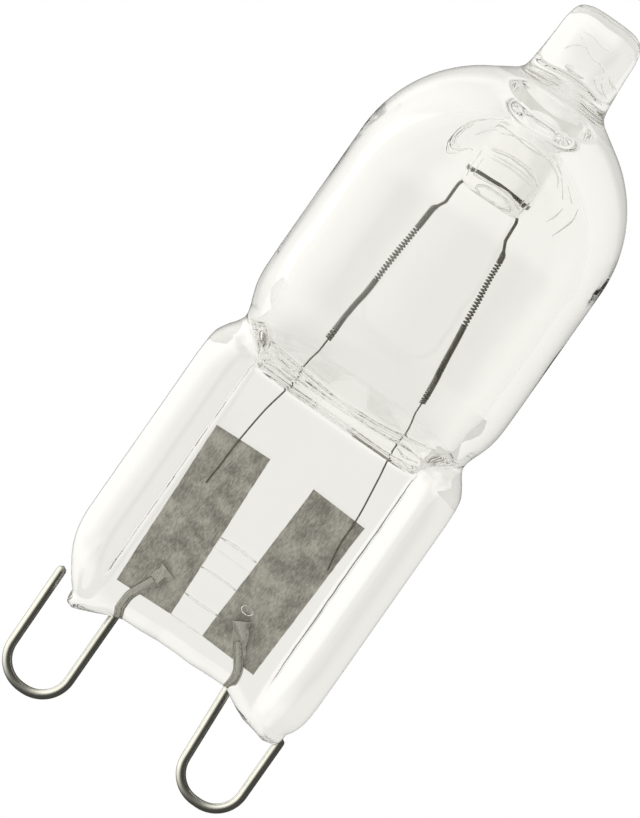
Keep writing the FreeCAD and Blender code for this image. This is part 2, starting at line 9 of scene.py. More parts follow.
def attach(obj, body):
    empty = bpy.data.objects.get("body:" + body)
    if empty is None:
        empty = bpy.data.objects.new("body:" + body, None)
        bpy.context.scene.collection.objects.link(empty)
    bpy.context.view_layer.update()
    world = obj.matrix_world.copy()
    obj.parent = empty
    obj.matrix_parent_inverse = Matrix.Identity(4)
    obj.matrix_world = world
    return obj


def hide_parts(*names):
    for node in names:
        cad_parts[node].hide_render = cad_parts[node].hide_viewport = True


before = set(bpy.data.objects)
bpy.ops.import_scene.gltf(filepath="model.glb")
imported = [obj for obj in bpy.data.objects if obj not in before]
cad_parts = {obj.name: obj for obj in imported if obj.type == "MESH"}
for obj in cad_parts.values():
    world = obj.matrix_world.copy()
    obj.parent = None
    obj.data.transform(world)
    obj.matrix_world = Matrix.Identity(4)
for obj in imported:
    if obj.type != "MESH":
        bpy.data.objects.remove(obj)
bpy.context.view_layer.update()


# Quartz envelope. One piece of fused quartz tube, blown round, pressed flat over the foils while soft,
# and closed at the top by melting off the exhaust tube and nipping it flat. It is fire polished, so its
# faces are smooth, its edges are soft and every bend shows as a grey line of refraction.
# Pieces are measured in millimetres, and MM makes metres of them. The lamp's front faces -Y.
MM = 0.001
# points round each level section of the glass, and the squareness of a round one
AROUND = 184
ROUND = 2.0
# bulb, its hollow, and the roots of the stub and the tip in them
BULB_RADIUS = 7.0
BULB_BASE = 24.0
DOME_BASE = 32.0
INNER_DOME_BASE = 31.0
INNER_RADIUS = 5.95
STUB_ROOT_RADIUS = 1.84
TIP_ROOT_RADIUS = 3.5
# press: a flat web with a thick rim down each side, whose slope runs from RIM_INNER to RIM_OUTER
PRESS_HALF_WIDTH = 7.3
PRESS_WEB_HALF_DEPTH = 1.65
PRESS_RIM_HALF_DEPTH = 2.4
PRESS_SQUARENESS = 8.0
PRESS_SIDE_END = 9.6
RIM_INNER = 4.6
RIM_OUTER = 5.8
RIM_TOP = 19.4
# how the press's lower end differs from its sides
LEFT_CORNER_INSET = 1.6
RIGHT_CORNER_INSET = 0.5
CORNER_THINNING = 0.5
CORNER_SOFTENING = 4.0
EDGE_ROUNDING = 0.7
# folds are pressed only into faces further forward than this
FRONT = -0.5
# Each station is a level section of the glass: (height, half width, half depth in the middle, half depth
# at the rims, squareness, which is 2 where the section is round). First the nipped tip, down to its root.
TIP_STATIONS = (
    (43.20, 0.00, 0.00, 0.00, 2.4),
    (43.18, 0.75, 0.25, 0.25, 2.6),
    (43.08, 1.35, 0.62, 0.62, 2.9),
    (42.80, 1.80, 0.98, 0.98, 3.1),
    (42.20, 2.00, 1.20, 1.20, 3.2),
    (41.20, 2.07, 1.32, 1.32, 3.1),
    (40.40, 2.12, 1.42, 1.42, 2.9),
    (39.80, 2.17, 1.54, 1.54, 2.6),
    (39.35, 2.22, 1.74, 1.74, 2.3),
    (39.00, 2.30, 2.05, 2.05, 2.1),
    (38.72, 2.52, 2.42, 2.42, 2.0),
    (38.48, 2.86, 2.82, 2.82, 2.0),
    (38.26, 3.20, 3.20, 3.20, 2.0),
)
# the outside from the bulb through the waist to the press
NECK_STATIONS = (
    (25.20, 7.00, 7.00, 7.00, 2.0),
    (24.40, 6.99, 6.92, 6.92, 2.0),
    (23.70, 6.97, 6.68, 6.68, 2.0),
    (23.00, 6.88, 6.22, 6.22, 2.0),
    (22.40, 6.70, 5.62, 5.62, 2.02),
    (21.80, 6.48, 4.85, 4.85, 2.1),
    (21.30, 6.40, 4.05, 4.15, 2.2),
    (20.90, 6.58, 3.30, 3.60, 2.4),
    (20.50, 6.87, 2.60, 3.15, 2.7),
    (20.20, 7.05, 2.15, 2.88, 3.1),
    (19.90, 7.19, 1.86, 2.68, 3.8),
    (19.60, 7.25, 1.72, 2.54, 4.8),
    (19.20, 7.28, 1.66, 2.45, 6.0),
    (18.60, 7.30, 1.65, 2.41, 7.2),
    (17.90, 7.30, 1.65, 2.40, 8.0),
)
# the hollow from its lower end, a slit above the press, up to the bulb
CAVITY_STATIONS = (
    (19.70, 0.00, 0.00, 0.00, 2.2),
    (19.70, 1.60, 0.08, 0.08, 2.3),
    (19.70, 3.40, 0.12, 0.12, 2.4),
    (19.72, 4.20, 0.26, 0.26, 2.8),
    (19.82, 4.50, 0.50, 0.50, 2.9),
    (20.05, 4.70, 0.80, 0.80, 2.8),
    (20.50, 4.92, 1.20, 1.20, 2.6),
    (20.90, 5.08, 1.70, 1.70, 2.4),
    (21.30, 5.22, 2.38, 2.38, 2.3),
    (21.80, 5.38, 3.28, 3.28, 2.2),
    (22.40, 5.56, 4.22, 4.22, 2.08),
    (23.00, 5.72, 4.98, 4.98, 2.0),
    (23.70, 5.87, 5.54, 5.54, 2.0),
    (24.50, 5.94, 5.88, 5.88, 2.0),
    (25.30, 5.95, 5.95, 5.95, 2.0),
)
# the stub of the exhaust tube, from the inner dome down to its rounded end
STUB_STATIONS = (
    (36.40, 1.81, 1.62, 1.62, 2.2),
    (36.10, 1.80, 1.52, 1.52, 2.5),
    (35.60, 1.80, 1.48, 1.48, 2.9),
    (35.00, 1.80, 1.46, 1.46, 3.3),
    (33.60, 1.80, 1.46, 1.46, 3.4),
    (33.25, 1.72, 1.38, 1.38, 3.0),
    (33.06, 1.50, 1.20, 1.20, 2.7),
    (32.98, 1.15, 0.90, 0.90, 2.4),
    (32.96, 0.60, 0.48, 0.48, 2.1),
    (32.98, 0.00, 0.00, 0.00, 2.0),
)
# the lower edge of the press, from left to right: (across, height)
LOWER_EDGE = (
    (-7.3, 5.35), (-6.5, 5.2), (-5.95, 5.02), (-5.33, 4.87), (-4.5, 5.2), (-3.54, 5.64), (-2.9, 5.84),
    (-1.8, 5.88), (-0.9, 5.96), (0.2, 5.97), (1.0, 5.93), (2.3, 6.0), (3.2, 6.0), (3.5, 5.8), (4.17, 5.45),
    (4.75, 5.2), (5.6, 5.05), (6.1, 4.9), (6.6, 5.0), (7.3, 5.3),
)
# folds and tool marks in the front face, each a line: (depth, width, its points across and up)
OUTER_FOLDS = (
    (0.09, 0.06, ((-4.55, 21.36), (-3.78, 21.3), (-0.65, 20.98), (1.86, 21.12), (3.83, 21.46),
                  (4.65, 21.56))),
    (0.06, 0.05, ((-4.3, 21.2), (-2.6, 21.06), (0.4, 20.86), (2.4, 21.04))),
    (0.16, 0.07, ((-4.7, 20.64), (-3.78, 20.87), (-2.34, 20.73), (-0.65, 20.64), (1.86, 20.69), (3.5, 20.87),
                  (4.31, 20.78), (4.6, 20.6))),
    (0.14, 0.06, ((-4.46, 20.32), (-3.54, 20.5), (-2.34, 20.48), (-0.89, 20.5), (0.6, 20.54))),
    (0.12, 0.05, ((-4.3, 20.24), (-3.6, 20.36), (-3.0, 20.3), (-2.4, 20.34))),
    (0.08, 0.06, ((-4.75, 20.15), (-4.27, 20.06), (-3.06, 20.01), (0.2, 20.04), (2.7, 20.01), (4.4, 20.2))),
    (0.10, 0.05, ((3.3, 20.5), (3.9, 20.42), (4.4, 20.5))),
    (0.10, 0.05, ((-4.65, 19.75), (-3.78, 19.88), (0.55, 19.87), (3.7, 19.9), (4.4, 19.8))),
    (0.12, 0.05, ((-3.54, 19.72), (-2.0, 19.7), (-0.4, 19.74), (1.04, 19.7))),
)
# Gas lines, drawn out thin in the hot glass: (radius, depth under the front face, points across and up).
# They lie round the stub, in the tip, at the neck and between the foils.
WALL_LINES = (
    (0.075, 0.5, ((-2.27, 35.98), (-2.74, 35.55), (-2.97, 34.98), (-3.06, 34.5), (-2.94, 34.17),
                  (-2.7, 34.09), (-2.41, 34.24), (-2.17, 34.47), (-1.94, 34.55))),
    (0.060, 0.6, ((-2.6, 35.5), (-2.85, 34.9), (-2.9, 34.5), (-2.72, 34.25), (-2.5, 34.3))),
    (0.068, 0.6, ((-3.1, 34.5), (-3.04, 34.1), (-2.83, 33.8), (-2.45, 34.0))),
    (0.033, 0.5, ((-2.64, 35.66), (-2.22, 36.04), (-1.56, 36.47))),
    (0.039, 0.7, ((-2.27, 35.1), (-2.04, 35.45), (-1.56, 35.88))),
    (0.051, 0.6, ((-1.4, 35.82), (-0.8, 36.08), (-0.02, 36.24), (0.8, 36.15), (1.52, 35.96), (2.04, 35.65),
                  (2.27, 35.3))),
    (0.075, 0.5, ((1.61, 36.2), (1.84, 36.04), (2.12, 35.88))),
    (0.036, 0.5, ((2.12, 35.83), (2.5, 35.41), (2.78, 34.99))),
    (0.036, 0.6, ((2.59, 35.64), (3.02, 35.26), (3.25, 35.03))),
    (0.036, 0.5, ((3.63, 35.03), (3.72, 34.5), (3.58, 33.97), (3.35, 33.35))),
    (0.030, 0.6, ((3.02, 34.67), (2.92, 34.15), (2.74, 33.73))),
    (0.060, 0.5, ((-0.94, 41.7), (-0.52, 41.49), (0.17, 41.11), (0.75, 41.05), (1.04, 40.85), (1.11, 40.57),
                  (1.33, 40.2), (1.74, 39.87))),
    (0.060, 0.6, ((0.89, 40.64), (0.87, 40.35), (1.11, 40.05), (1.5, 39.95))),
    (0.068, 0.5, ((1.25, 40.85), (1.6, 40.57), (1.85, 40.5))),
    (0.051, 0.6, ((1.45, 41.1), (1.5, 40.8), (1.75, 40.3))),
    (0.039, 0.7, ((-1.16, 40.71), (-1.02, 40.98), (-0.75, 41.25), (-0.3, 41.35))),
    (0.030, 0.5, ((-0.9, 41.9), (-0.4, 41.95), (0.3, 41.8), (0.9, 41.9))),
    (0.085, 0.3, ((-4.5, 20.35), (-4.0, 20.58), (-3.2, 20.62), (-2.4, 20.55), (-1.2, 20.6))),
    (0.060, 0.3, ((-4.35, 20.2), (-3.7, 20.34), (-3.0, 20.26), (-2.3, 20.34))),
    (0.050, 0.4, ((-4.6, 21.3), (-3.2, 21.2), (-0.65, 20.95), (1.86, 21.08), (4.4, 21.5))),
    (0.040, 0.4, ((-4.5, 21.05), (-3.0, 21.0), (-0.6, 20.8), (1.4, 20.86), (3.2, 21.1))),
    (0.060, 0.3, ((-1.9, 20.72), (0.6, 20.66), (2.6, 20.74), (3.6, 20.9), (4.4, 20.75))),
    (0.070, 0.4, ((3.4, 20.48), (3.8, 20.40), (4.2, 20.48))),
    (0.050, 0.18, ((-4.4, 19.84), (-2.6, 19.86), (0.6, 19.84), (2.4, 19.9), (4.2, 19.86))),
    (0.060, 0.15, ((-3.7, 19.72), (-1.0, 19.70), (1.2, 19.74))),
    (0.075, 0.12, ((-1.25, 11.98), (-0.4, 12.02), (0.85, 11.97))),
    (0.035, 0.12, ((-1.2, 11.42), (0.8, 11.38))),
    (0.062, 0.12, ((-1.22, 10.28), (-0.2, 10.33), (0.82, 10.29))),
    (0.068, 0.12, ((-1.2, 8.79), (-0.3, 8.75), (0.86, 8.79))),
    (0.035, 0.12, ((-1.2, 7.57), (-0.3, 7.55), (0.8, 7.58))),
)
# gas lines in the stub: (radius, how far in front of the middle, points across and up)
STUB_LINES = (
    (0.101, 0.85, ((-1.2, 35.05), (-0.7, 35.22), (0.07, 35.3), (0.82, 35.22), (1.25, 35.02), (1.45, 34.85))),
    (0.049, 1.0, ((-1.0, 34.9), (-0.2, 34.98), (0.5, 34.98), (1.2, 34.88))),
    (0.041, 1.1, ((-1.1, 34.7), (-0.6, 34.78), (0.7, 34.78), (1.25, 34.7))),
    (0.069, 0.95, ((-1.5, 33.4), (-1.58, 34.1), (-1.55, 34.8))),
    (0.069, 0.95, ((1.5, 33.4), (1.6, 34.1), (1.56, 34.8))),
    (0.045, 1.1, ((-1.25, 33.6), (-1.3, 34.1), (-1.28, 34.55))),
    (0.045, 1.1, ((1.3, 33.6), (1.36, 34.1), (1.3, 34.55))),
    (0.081, 0.8, ((-0.85, 33.36), (-0.5, 33.52), (0.1, 33.56), (0.8, 33.52), (1.05, 33.36), (0.7, 33.2),
                  (0.1, 33.18), (-0.5, 33.2), (-0.84, 33.34))),
    (0.061, 0.9, ((-1.2, 33.66), (-0.9, 33.7), (1.1, 33.7), (1.4, 33.56))),
)
# how far beside a fold the faces are refined, and how many cuts each of them gets
FOLD_REACH = 0.2
FOLD_CUTS = 3
# dents in the front face: (across, height, half width, half height, depth)
DENTS = (
    (-6.05, 8.24, 0.50, 0.48, 0.13),
    (-5.65, 20.0, 0.42, 0.42, 0.12),
    (6.10, 20.1, 0.38, 0.38, 0.12),
    (5.75, 7.0, 0.34, 1.5, 0.12),
)
# grooves down the rims: (across, depth, width)
RIM_GROOVES = ((6.82, 0.05, 0.14), (5.95, 0.02, 0.12), (-5.85, 0.02, 0.15))
# gas bubbles caught in the glass, in the tip and in front of a foil: (place, half sizes)
BUBBLES = (
    ((-0.17, -0.6, 40.05), (0.56, 0.2, 0.2)),
    ((1.81, -0.45, 9.72), (0.34, 0.16, 0.24)),
)


def ease(low, high, value):
    """Rises smoothly from 0 at low to 1 at high."""
    share = np.clip((value - low) / (high - low), 0.0, 1.0)
    return share * share * (3.0 - 2.0 * share)


def smoothed(stations, steps):
    """Rows of numbers carried on a smooth curve through the stations, with some steps between two."""
    rows = np.array(stations, float)
    gaps = np.maximum(np.linalg.norm(np.diff(rows[:, :3], axis=0), axis=1), 1e-6)
    place = np.concatenate([[0.0], np.cumsum(gaps)])
    slope = np.gradient(rows, place, axis=0)
    out = []
    for i in range(len(rows) - 1):
        for step in range(steps):
            s = step / steps
            out.append(
                rows[i] * (2 * s**3 - 3 * s**2 + 1)
                + slope[i] * gaps[i] * (s**3 - 2 * s**2 + s)
                + rows[i + 1] * (3 * s**2 - 2 * s**3)
                + slope[i + 1] * gaps[i] * (s**3 - s**2)
            )
    out.append(rows[-1])
    return [tuple(row) for row in out]


def dome_stations(base, radius, from_radius, steps):
    """Round sections of a dome from a given radius down to its base."""
    start = math.asin(from_radius / radius)
    rows = []
    for step in range(steps + 1):
        angle = start + (math.pi / 2 - start) * step / steps
        half = radius * math.sin(angle)
        rows.append((base + radius * math.cos(angle), half, half, half, ROUND))
    return rows


def level_section(half_left, half_right, middle_depth, rim_depth, power):
    """Points of one level section, evenly spaced in each quarter, from +X round by +Y."""
    quarter = AROUND // 4
    turn = np.linspace(0.0, math.pi / 2, 400)
    quarters = []
    for half in (half_right, half_left):
        across = half * np.cos(turn).clip(0) ** (2 / power)
        depth = middle_depth + (rim_depth - middle_depth) * ease(RIM_INNER, RIM_OUTER, across)
        deep = depth * np.sin(turn) ** (2 / power)
        run = np.concatenate([[0.0], np.cumsum(np.hypot(np.diff(across), np.diff(deep)))])
        even = np.linspace(0.0, run[-1], quarter + 1)
        quarters.append((np.interp(even, run, across), np.interp(even, run, deep)))
    (rx, ry), (lx, ly) = quarters
    xs = np.concatenate([rx[:-1], -lx[::-1][:-1], -lx[:-1], rx[::-1][:-1]])
    ys = np.concatenate([ry[:-1], ly[::-1][:-1], -ly[:-1], -ry[::-1][:-1]])
    return xs, ys


def fold_share(fold, across, height):
    """How much of a fold's depth each point (across, height) takes, less towards the fold's ends."""
    depth, width, path = fold
    steps = [math.dist(start, end) for start, end in zip(path, path[1:])]
    nearest = np.full(across.shape, np.inf)
    taper = np.zeros(across.shape)
    run = 0.0
    for start, end, step in zip(path, path[1:], steps):
        way = ((end[0] - start[0]), (end[1] - start[1]))
        along = ((across - start[0]) * way[0] + (height - start[1]) * way[1]) / step**2
        along = np.clip(along, 0.0, 1.0)
        gap = np.hypot(across - start[0] - along * way[0], height - start[1] - along * way[1])
        place = (run + along * step) / sum(steps)
        taper = np.where(gap < nearest, np.minimum(1.0, 8.0 * np.minimum(place, 1.0 - place) + 0.15), taper)
        nearest = np.minimum(nearest, gap)
        run += step
    return nearest, depth * taper * np.exp(-((nearest / width) ** 2))


def fold_in(shell, folds):
    """Refines the front of a shell along its folds and presses them into it."""
    bpy.ops.object.select_all(action="DESELECT")
    shell.select_set(True)
    bpy.context.view_layer.objects.active = shell
    bpy.ops.object.mode_set(mode="EDIT")
    bpy.ops.mesh.select_mode(type="FACE")
    bpy.ops.mesh.select_all(action="DESELECT")
    bpy.ops.object.mode_set(mode="OBJECT")
    centres = np.array([face.center for face in shell.data.polygons]) / MM
    near = np.zeros(len(centres), bool)
    for fold in folds:
        near |= fold_share(fold, centres[:, 0], centres[:, 2])[0] < FOLD_REACH
    near &= centres[:, 1] < FRONT
    shell.data.polygons.foreach_set("select", near)
    bpy.ops.object.mode_set(mode="EDIT")
    bpy.ops.mesh.subdivide(number_cuts=FOLD_CUTS)
    bpy.ops.object.mode_set(mode="OBJECT")
    places = np.array([vertex.co for vertex in shell.data.vertices]) / MM
    depth = sum(fold_share(fold, places[:, 0], places[:, 2])[1] for fold in folds)
    for vertex, place, dip in zip(shell.data.vertices, places, depth):
        if place[1] < FRONT and dip > 0.001:
            patchy = 0.75 + 0.6 * noise.noise(Vector(place) * 3.0)
            vertex.co.y += dip * patchy * MM


def rolled_shell(name, rings):
    """A sheet rolled up into a closed shell through rings of points, with its seam and poles merged."""
    bpy.ops.object.select_all(action="DESELECT")
    bpy.ops.mesh.primitive_grid_add(x_subdivisions=AROUND, y_subdivisions=len(rings) - 1, size=2)
    shell = bpy.context.object
    shell.name = name
    shell.data.name = name
    for vertex in shell.data.vertices:
        column = round((vertex.co.x + 1) / 2 * AROUND) % AROUND
        row = round((vertex.co.y + 1) / 2 * (len(rings) - 1))
        vertex.co = Vector(rings[row][column]) * MM
    bpy.ops.object.mode_set(mode="EDIT")
    bpy.ops.mesh.select_all(action="SELECT")
    bpy.ops.mesh.remove_doubles(threshold=2e-7)
    bpy.ops.mesh.dissolve_degenerate(threshold=1e-7)
    bpy.ops.object.mode_set(mode="OBJECT")
    return shell


def face_all(piece, inwards):
    """Turns every face of a closed shell outwards or inwards, and shades it smooth."""
    bpy.ops.object.select_all(action="DESELECT")
    piece.select_set(True)
    bpy.context.view_layer.objects.active = piece
    bpy.ops.object.mode_set(mode="EDIT")
    bpy.ops.mesh.select_all(action="SELECT")
    bpy.ops.mesh.normals_make_consistent(inside=inwards)
    bpy.ops.object.mode_set(mode="OBJECT")
    bpy.ops.object.shade_smooth()


ENVELOPE_STATIONS = smoothed(TIP_STATIONS, 5)
ENVELOPE_STATIONS += dome_stations(DOME_BASE, BULB_RADIUS, TIP_ROOT_RADIUS, 30)
ENVELOPE_STATIONS += [
    (BULB_BASE + rise, BULB_RADIUS, BULB_RADIUS, BULB_RADIUS, ROUND) for rise in np.linspace(7.5, 1.6, 9)
]
ENVELOPE_STATIONS += smoothed(NECK_STATIONS, 5)
ENVELOPE_STATIONS += [
    (height, PRESS_HALF_WIDTH, PRESS_WEB_HALF_DEPTH, PRESS_RIM_HALF_DEPTH, PRESS_SQUARENESS)
    for height in np.linspace(17.7, PRESS_SIDE_END, 34)[:-1]
]


def envelope_rings():
    """Rings of the envelope's outer face, from the end of the tip down to the press's lower edge."""
    rings = []
    for height, half, middle_depth, rim_depth, power in ENVELOPE_STATIONS:
        xs, ys = level_section(half, half, middle_depth, rim_depth, power)
        rings.append([(x, y, height) for x, y in zip(xs, ys)])

    # towards its lower end the press narrows to its corners, and its sections drop to the uneven edge
    edge = np.array(LOWER_EDGE)
    for share in np.linspace(0.0, 1.0, 26):
        half_left = PRESS_HALF_WIDTH - LEFT_CORNER_INSET * share**2.2
        half_right = PRESS_HALF_WIDTH - RIGHT_CORNER_INSET * share**6
        rim_depth = PRESS_RIM_HALF_DEPTH - CORNER_THINNING * share**3
        power = PRESS_SQUARENESS - CORNER_SOFTENING * share
        xs, ys = level_section(half_left, half_right, PRESS_WEB_HALF_DEPTH, rim_depth, power)
        low = np.interp(xs, edge[:, 0], edge[:, 1])
        zs = PRESS_SIDE_END + (low + EDGE_ROUNDING * share - PRESS_SIDE_END) * share
        rings.append(list(zip(xs, ys, zs)))
    for step in range(1, 13):
        angle = math.pi / 2 * step / 12
        zs = low + EDGE_ROUNDING * (1.0 - math.sin(angle))
        narrow = 1.0 - 0.03 * (1.0 - math.cos(angle))
        rings.append(list(zip(xs * narrow, ys * math.cos(angle) ** 0.8, zs)))
    return rings


def worked_marks(point):
    """Moves a point of the outer face by dents, the grooves down the rims and slight waves."""
    x, y, z = point
    side = 1.0 if y > 0 else -1.0
    dip = 0.0
    if z < RIM_TOP:
        for across, depth, width in RIM_GROOVES:
            dip += depth * math.exp(-(((x - across) / width) ** 2)) * ease(0.0, 1.0, RIM_TOP - z)
    for across, height, half_width, half_height, depth in DENTS:
        reach = math.hypot((x - across) / half_width, (z - height) / half_height)
        if y < 0 and reach < 3.0:
            dip += depth * math.exp(-(reach**2))

    # slight waves: long ones in the press, short ones on the slopes of its rims, and some in the tip
    press = min(max((21.0 - z) / 1.5, 0.0), 1.0)
    tip = min(max((z - 39.2) / 0.8, 0.0), 1.0)
    slope = math.exp(-(((abs(x) - 5.1) / 0.35) ** 2))
    wave = 0.03 * noise.noise(Vector((x * 0.55, side * 3.0, z * 0.35))) * press
    wave += 0.035 * slope * press * noise.noise(Vector((x, side * 4.0, z * 1.9)))
    wave += 0.05 * tip * noise.noise(Vector((x * 0.9, side * 6.0, z * 1.1)))
    near_edge = min(abs(y) / 0.8, 1.0)
    return x, y - side * (dip + wave) * near_edge, z


outer = rolled_shell("envelope_outer", [[worked_marks(point) for point in ring] for ring in envelope_rings()])
fold_in(outer, OUTER_FOLDS)
face_all(outer, False)
hollow_stations = smoothed(CAVITY_STATIONS, 3)
hollow_stations += [
    (BULB_BASE + rise, INNER_RADIUS, INNER_RADIUS, INNER_RADIUS, ROUND) for rise in np.linspace(1.7, 6.9, 7)
]
hollow_stations += dome_stations(INNER_DOME_BASE, INNER_RADIUS, STUB_ROOT_RADIUS, 30)[::-1]
hollow_stations += smoothed(STUB_STATIONS, 4)
hollow_rings = []
for height, half, middle_depth, rim_depth, power in hollow_stations:
    xs, ys = level_section(half, half, middle_depth, rim_depth, power)
    hollow_rings.append([(x, y, height) for x, y in zip(xs, ys)])
hollow = rolled_shell("envelope_hollow", hollow_rings)
face_all(hollow, True)


def wire_mesh(name, points, radii, sides):
    """A closed round wire through points, thick as the radii say, as one mesh piece."""
    line = bpy.data.curves.new(name, "CURVE")
    line.dimensions = "3D"
    line.bevel_depth = MM
    line.bevel_resolution = sides
    line.use_fill_caps = True
    spline = line.splines.new("POLY")
    spline.points.add(len(points) - 1)
    for place, point, radius in zip(spline.points, points, radii):
        place.co = (point[0] * MM, point[1] * MM, point[2] * MM, 1.0)
        place.radius = radius
    piece = bpy.data.objects.new(name, line)
    bpy.context.collection.objects.link(piece)
    bpy.ops.object.select_all(action="DESELECT")
    piece.select_set(True)
    bpy.context.view_layer.objects.active = piece
    bpy.ops.object.convert(target="MESH")
    piece = bpy.context.object
    bpy.ops.object.mode_set(mode="EDIT")
    bpy.ops.mesh.select_all(action="SELECT")
    bpy.ops.mesh.remove_doubles(threshold=1e-7)
    bpy.ops.object.mode_set(mode="OBJECT")
    bpy.ops.object.shade_smooth_by_angle(angle=math.radians(50))
    return piece


def front_face(across, height):
    """Where the envelope's front face is, at a place across and up."""
    levels = np.array(sorted(ENVELOPE_STATIONS))
    half, depth, power = [np.interp(height, levels[:, 0], levels[:, column]) for column in (1, 2, 4)]
    return -depth * max(0.0, 1.0 - (abs(across) / half) ** power) ** (1 / power)


def gas_line(radius, places):
    """A closed hair-thin hollow through places, pointed at its ends."""
    rows = smoothed(places, 10)

    # thickest in the middle, and uneven along its way
    shares = np.linspace(0.0, 1.0, len(rows))
    radii = radius * (0.35 + 0.65 * np.sin(math.pi * shares) ** 0.5)
    radii = [r * (1.0 + 0.7 * noise.noise(Vector(row) * 4.0)) for r, row in zip(radii, rows)]
    line = wire_mesh("gas_line", rows, radii, 2)
    face_all(line, True)
    return line


bubbles = [
    gas_line(radius, [(x, front_face(x, z) + depth, z) for x, z in path])
    for radius, depth, path in WALL_LINES
]
bubbles += [gas_line(radius, [(x, -depth, z) for x, z in path]) for radius, depth, path in STUB_LINES]
for place, half_sizes in BUBBLES:
    bpy.ops.object.select_all(action="DESELECT")
    bpy.ops.mesh.primitive_uv_sphere_add(segments=40, ring_count=24, radius=1.0)
    bubble = bpy.context.object
    for vertex in bubble.data.vertices:
        vertex.co = (Vector(place) + vertex.co * Vector(half_sizes)) * MM
    face_all(bubble, True)
    bubbles.append(bubble)
bpy.ops.object.select_all(action="DESELECT")
for shell in bubbles + [hollow, outer]:
    shell.select_set(True)
bpy.context.view_layer.objects.active = outer
bpy.ops.object.join()
envelope = bpy.context.object
envelope.name = "clear_quartz_envelope"
envelope.data.name = "clear_quartz_envelope"


def to_linear(hex_colour):
    """An sRGB hex colour as linear red, green, blue and alpha."""
    parts = [int(hex_colour[i:i + 2], 16) / 255 for i in (1, 3, 5)]
    return tuple(c / 12.92 if c <= 0.04045 else ((c + 0.055) / 1.055) ** 2.4 for c in parts) + (1.0,)


def add_node(tree, kind, values=None, links=None, **settings):
    """Adds a node with its settings, its plain socket values and the outputs linked to its sockets."""
    node = tree.nodes.new(kind)
    for name, value in settings.items():
        setattr(node, name, value)
    for socket, value in (values or {}).items():
        node.inputs[socket].default_value = value
    for socket, output in (links or {}).items():
        tree.links.new(output, node.inputs[socket])
    return node


def new_material(name):
    """An empty node material, and its tree."""
    material = bpy.data.materials.new(name)
    material.use_nodes = True
    material.node_tree.nodes.clear()
    return material, material.node_tree


# Fused quartz: clear and smooth, IOR 1.458. Hot working leaves ripples about 3 mm long, which only show
# as faint shading where light bends through them.
RIPPLES_A_MM = 0.32
quartz, tree = new_material("fused_quartz")
where = add_node(tree, "ShaderNodeTexCoord").outputs["Object"]
ripple = add_node(tree, "ShaderNodeTexNoise", {
    "Scale": RIPPLES_A_MM / MM,
    "Detail": 1.0,
    "Roughness": 0.4,
}, {"Vector": where})
bump = add_node(tree, "ShaderNodeBump", {"Strength": 0.15, "Distance": 0.0004}, {
    "Height": ripple.outputs[0],
})
clear = add_node(tree, "ShaderNodeBsdfPrincipled", {
    "Base Color": to_linear("#FCFCFB"),
    "Roughness": 0.0,
    "IOR": 1.458,
    "Transmission Weight": 1.0,
}, {"Normal": bump.outputs["Normal"]})
add_node(tree, "ShaderNodeOutputMaterial", links={"Surface": clear.outputs["BSDF"]})
envelope.data.materials.append(quartz)
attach(envelope, "root")
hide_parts("quartz_envelope")


# Sealing foils. Molybdenum strip a few hundredths of a millimetre thick, rolled, etched at its edges and
# pressed into the soft quartz, so it is dull, streaked along its length and creased round the welds.
FOIL_WIDTH = 3.1
FOIL_LENGTH = 8.95
FOIL_THICKNESS = 0.03
FOIL_DEPTH = 0.265
FOIL_HEIGHT = 11.8
# each foil: (place of its middle across, lean in degrees, place of its creases across)
FOILS = {"left": (-2.84, -2.2, -2.5), "right": (2.45, 2.3, 2.2)}
# the creases round the welds: height of their middle, and depth
CREASE_HEIGHT = 8.6
CREASE_DEPTH = 0.05

# Rolled and etched molybdenum: a dull warm grey, mottled and streaked along the strip. Real streaks are
# about 0.01 mm wide, too fine to show, so they are drawn 0.08 mm wide and 0.2 mm long.
STREAKS_A_MM = (13.0, 13.0, 4.5)
BLOTCHES_A_MM = 1.1
foil_metal, tree = new_material("etched_molybdenum_foil")
where = add_node(tree, "ShaderNodeTexCoord").outputs["Object"]
stretched = add_node(tree, "ShaderNodeMapping", {"Scale": Vector(STREAKS_A_MM) / MM}, {"Vector": where})
streaks = add_node(tree, "ShaderNodeTexNoise", {"Scale": 1.0, "Detail": 6.0, "Roughness": 0.7}, {
    "Vector": stretched.outputs["Vector"],
})
blotch = add_node(tree, "ShaderNodeTexNoise", {
    "Scale": BLOTCHES_A_MM / MM,
    "Detail": 4.0,
    "Roughness": 0.6,
}, {"Vector": where})
both = add_node(tree, "ShaderNodeMath", links={0: streaks.outputs[0], 1: blotch.outputs[0]}, operation="ADD")
tone = add_node(tree, "ShaderNodeMapRange", {"From Min": 0.8, "From Max": 1.2}, {
    "Value": both.outputs["Value"],
})
colour = add_node(tree, "ShaderNodeMix", links={"Factor": tone.outputs["Result"]}, data_type="RGBA")
colour.inputs["A"].default_value = to_linear("#9A978D")
colour.inputs["B"].default_value = to_linear("#E4E1D6")
bump = add_node(tree, "ShaderNodeBump", {"Strength": 0.4, "Distance": 0.00002}, {
    "Height": both.outputs["Value"],
})
sheet_metal = add_node(tree, "ShaderNodeBsdfPrincipled", {"Metallic": 0.2, "Roughness": 0.5}, {
    "Base Color": colour.outputs["Result"],
    "Normal": bump.outputs["Normal"],
})
add_node(tree, "ShaderNodeOutputMaterial", links={"Surface": sheet_metal.outputs["BSDF"]})


